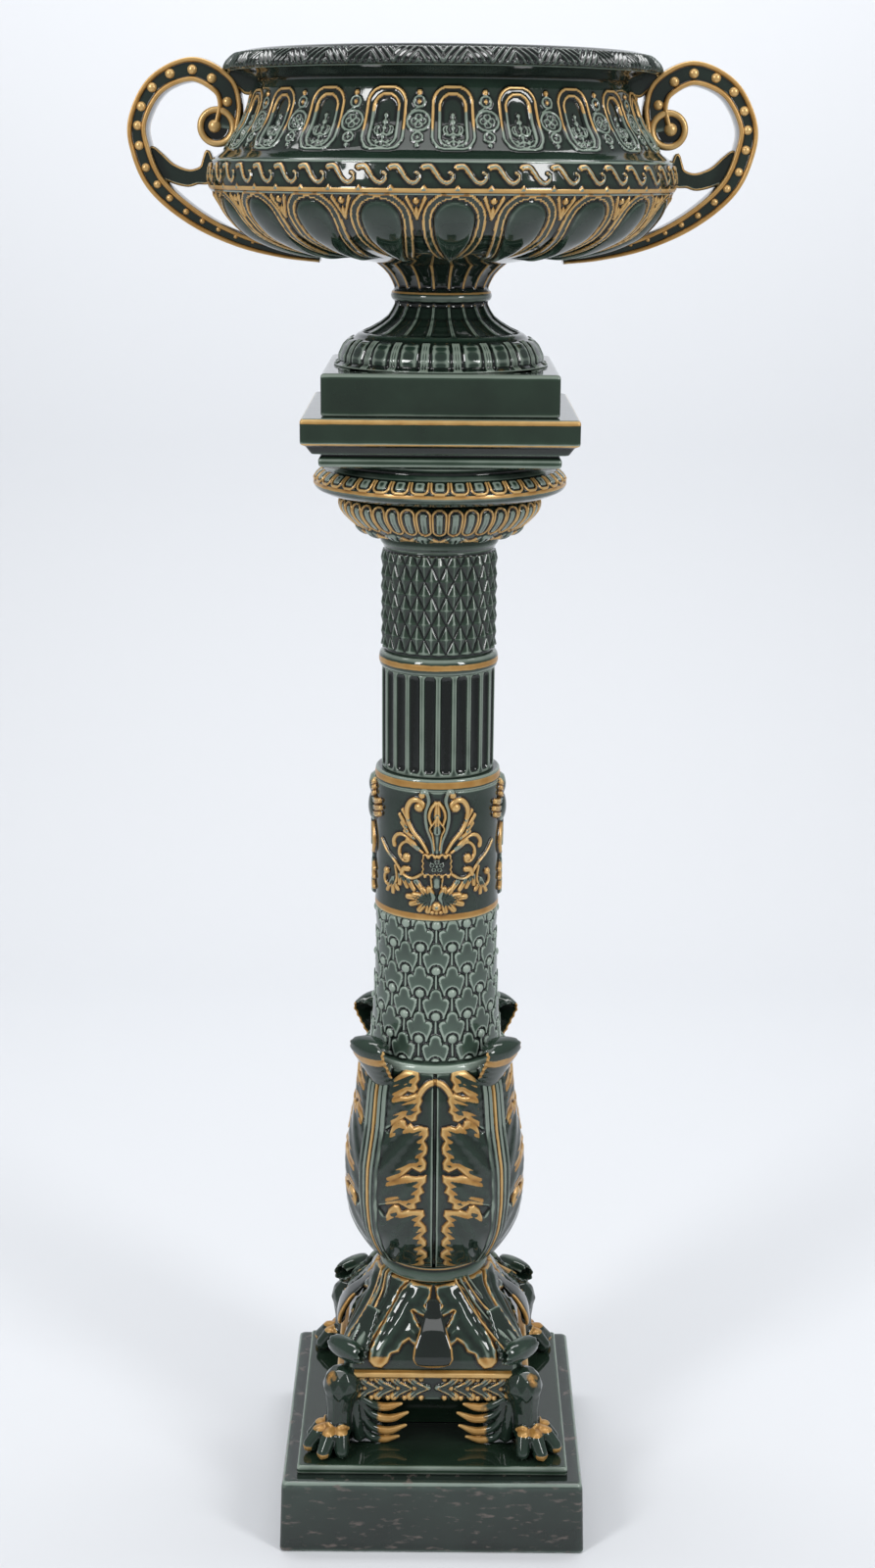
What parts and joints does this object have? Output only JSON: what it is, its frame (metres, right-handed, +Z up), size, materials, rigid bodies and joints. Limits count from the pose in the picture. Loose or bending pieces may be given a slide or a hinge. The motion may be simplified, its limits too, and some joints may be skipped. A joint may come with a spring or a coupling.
{
  "type": "jardiniere on stand",
  "caption": "Glazed earthenware urn planter with two scroll handles, lifted off a tall pedestal with a leafy bulb, a ringed column and a square base on lion paws.",
  "frame": {"origin": "centre of the pedestal slab's underside, on the floor", "axes": "+Z up, the front faces -Y, and the two handles stand out along +X and -X"},
  "size_m": [0.6212, 0.466, 1.585],
  "materials": {
    "green_glaze": "glossy bottle-green lead glaze that pools dark in the hollows and breaks pale on the edges",
    "dark_glaze": "near-black glossy green glaze",
    "pale_glaze": "thin grey-green glaze, pale on the relief",
    "gilt_leaf_glaze": "glossy green glaze over modelled leaves, edged with worn gilding",
    "handle_glaze": "dark green glaze between gilt rims, with gilt studs",
    "worn_gilding": "ochre-brown gilding over the glaze, rubbed on the high places"
  },
  "bodies": {
    "pedestal": {"base_slab": "green_glaze", "base_step": "dark_glaze", "base_core": "dark_glaze", "frieze_block": "gilt_leaf_glaze", "base_skirt": "gilt_leaf_glaze", "paw_front_left": "dark_glaze", "paw_front_right": "dark_glaze", "paw_back_right": "dark_glaze", "paw_back_left": "dark_glaze", "base_ring": "pale_glaze", "acanthus_bulb": "gilt_leaf_glaze", "bulb_collar": "pale_glaze", "scale_drum": "pale_glaze", "scroll_drum": "gilt_leaf_glaze", "column_ring": "pale_glaze", "fluted_drum": "green_glaze", "gilt_ring": "worn_gilding", "diamond_drum": "green_glaze", "astragal": "pale_glaze", "capital_cushion": "gilt_leaf_glaze", "capital_echinus": "gilt_leaf_glaze", "capital_abacus": "green_glaze"},
    "jardiniere": {"foot_plinth": "green_glaze", "socle": "gilt_leaf_glaze", "bowl": "gilt_leaf_glaze", "handle_right": "handle_glaze", "handle_tendril_right": "handle_glaze", "handle_clasp_right": "handle_glaze", "handle_left": "handle_glaze", "handle_tendril_left": "handle_glaze", "handle_clasp_left": "handle_glaze"}
  },
  "joints": [
    {"name": "jardiniere_lift", "type": "slide", "parent": "pedestal", "child": "jardiniere", "axis": [0, 0, 1], "range_m": [0, 0.25]}
  ]
}
